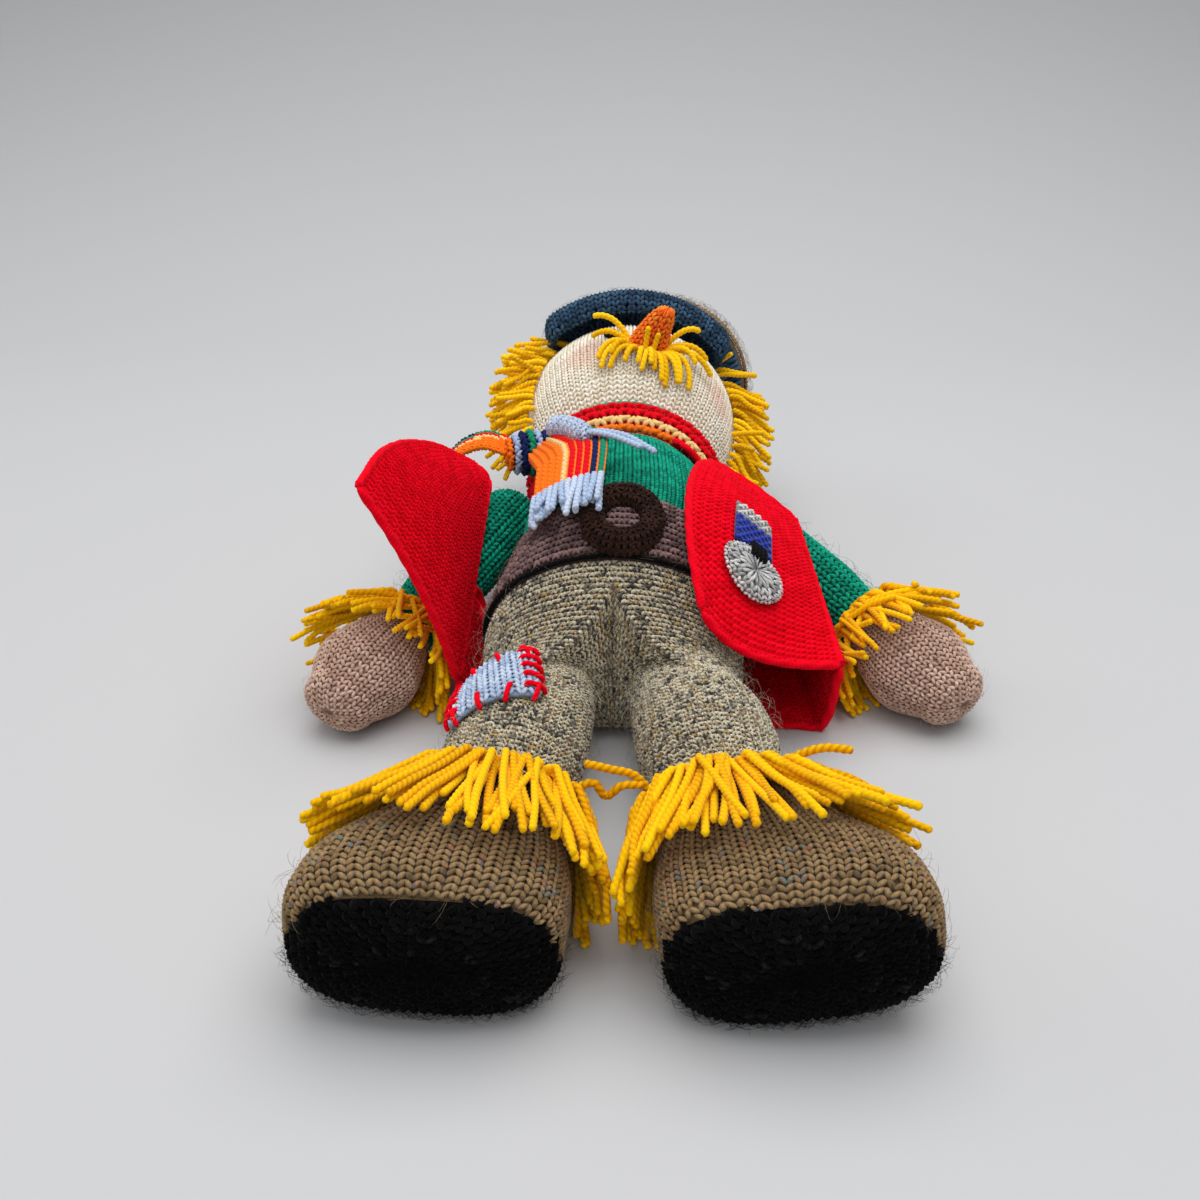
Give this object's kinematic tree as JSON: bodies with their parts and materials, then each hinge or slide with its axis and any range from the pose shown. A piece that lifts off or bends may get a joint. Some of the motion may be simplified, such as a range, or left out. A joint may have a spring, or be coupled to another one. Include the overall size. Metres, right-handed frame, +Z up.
{
  "type": "knitted scarecrow doll",
  "caption": "Stuffed knitted scarecrow doll lying on its back, with a carrot nose, hat, striped scarf, open waistcoat, patched trousers and yarn straw at wrists and ankles; a soft toy to pose",
  "frame": {"origin": "Centre of the bounding box, on the floor that the doll lies on", "axes": "+Y runs from the soles to the top of the hat, +X is to the doll's left, and +Z is up out of its chest"},
  "size_m": [0.2752, 0.4374, 0.1285],
  "materials": {
    "green_knit": "smooth knitting in green wool",
    "tweed_knit": "bumpy knitting in grey-beige flecked tweed wool",
    "brown_tweed_knit": "smooth knitting in brown flecked tweed wool",
    "black_knit": "fuzzy black knitting",
    "straw_yarn": "cut yellow yarn",
    "gold_yarn": "cut golden yarn",
    "hand_knit": "smooth knitting in pinkish beige wool",
    "cream_knit": "smooth knitting in cream wool with rouged cheeks",
    "red_knit": "ridged knitting in red wool",
    "red_yarn": "red yarn stitches",
    "mauve_knit": "fuzzy mauve-brown knitting",
    "dark_brown_knit": "dark brown knitted cord",
    "light_blue_knit": "light blue wool",
    "orange_knit": "smooth knitting in orange wool",
    "striped_knit": "ridged knitting in red, cream, orange, green, navy and light blue stripes",
    "teal_knit": "knitting in dark teal wool",
    "grey_knit": "light grey marled knitting",
    "blue_knit": "royal blue knitting",
    "polyester_fibre": "loose white fibre stuffing"
  },
  "bodies": {
    "trunk": {"jumper_body": "green_knit", "trouser_seat": "tweed_knit", "body_stuffing": "polyester_fibre", "waist_belt": "mauve_knit", "belt_buckle": "dark_brown_knit", "waistcoat_yoke": "red_knit", "waistcoat_back": "red_knit", "scarf_collar": "striped_knit", "scarf_knot": "striped_knit"},
    "right_leg": {"right_trouser_leg": "tweed_knit", "right_boot": "brown_tweed_knit", "right_sole": "black_knit", "right_leg_stuffing": "polyester_fibre", "right_ankle_straw": "straw_yarn", "knee_patch": "light_blue_knit", "patch_stitching": "red_yarn"},
    "left_leg": {"left_trouser_leg": "tweed_knit", "left_boot": "brown_tweed_knit", "left_sole": "black_knit", "left_leg_stuffing": "polyester_fibre", "left_ankle_straw": "straw_yarn"},
    "right_arm": {"right_sleeve": "green_knit", "right_hand": "hand_knit", "right_arm_stuffing": "polyester_fibre", "right_wrist_straw": "straw_yarn"},
    "left_arm": {"left_sleeve": "green_knit", "left_hand": "hand_knit", "left_arm_stuffing": "polyester_fibre", "left_wrist_straw": "straw_yarn"},
    "head": {"head_knit": "cream_knit", "head_stuffing": "polyester_fibre", "carrot_nose": "orange_knit", "nose_stuffing": "polyester_fibre", "right_eye": "black_knit", "left_eye": "black_knit", "right_hair": "gold_yarn", "left_hair": "gold_yarn", "moustache": "straw_yarn", "hat_brim": "teal_knit", "hat_crown": "teal_knit", "hat_band": "brown_tweed_knit"},
    "left_front": {"waistcoat_left_front": "red_knit", "medal_disc": "grey_knit", "medal_band": "blue_knit", "medal_ribbon": "grey_knit", "medal_mark": "black_knit"},
    "right_front": {"waistcoat_right_front": "red_knit"},
    "scarf_front": {"scarf_front_end": "striped_knit", "scarf_front_fringe": "light_blue_knit", "scarf_curled_edge": "light_blue_knit"},
    "scarf_back": {"scarf_back_end": "striped_knit", "scarf_back_fringe": "light_blue_knit"}
  },
  "joints": [
    {"name": "neck_turn", "type": "hinge", "parent": "trunk", "child": "head", "pos_m": [-0.00653, 0.07833, 0.0475], "axis": [0, 1, 0], "range_deg": [-30, 30], "stiffness_Nm_per_rad": 0.05},
    {"name": "right_shoulder", "type": "hinge", "parent": "trunk", "child": "right_arm", "pos_m": [-0.06237, 0.05033, 0.04], "axis": [0, 0, -1], "range_deg": [0, 60]},
    {"name": "left_shoulder", "type": "hinge", "parent": "trunk", "child": "left_arm", "pos_m": [0.04931, 0.05033, 0.04], "axis": [0, 0, 1], "range_deg": [0, 50]},
    {"name": "right_hip", "type": "hinge", "parent": "trunk", "child": "right_leg", "pos_m": [-0.03753, -0.07368, 0.0458], "axis": [-1, 0, 0], "range_deg": [0, 70]},
    {"name": "left_hip", "type": "hinge", "parent": "trunk", "child": "left_leg", "pos_m": [0.01947, -0.07368, 0.0458], "axis": [-1, 0, 0], "range_deg": [0, 70]},
    {"name": "left_front_fold", "type": "hinge", "parent": "trunk", "child": "left_front", "pos_m": [0.07732, -0.06673, 0.03497], "axis": [-0.0781, 0.9802, 0.1822], "range_deg": [0, 80]},
    {"name": "right_front_fold", "type": "hinge", "parent": "trunk", "child": "right_front", "pos_m": [-0.0706, -0.05768, 0.01997], "axis": [0.0264, 0.9219, 0.3866], "range_deg": [0, 32]},
    {"name": "scarf_front_fold", "type": "hinge", "parent": "trunk", "child": "scarf_front", "pos_m": [-0.03753, 0.05613, 0.077], "axis": [-1, 0, 0], "range_deg": [0, 60]},
    {"name": "scarf_back_fold", "type": "hinge", "parent": "trunk", "child": "scarf_back", "pos_m": [-0.06153, 0.07032, 0.0715], "axis": [0, 1, 0], "range_deg": [0, 25]}
  ]
}
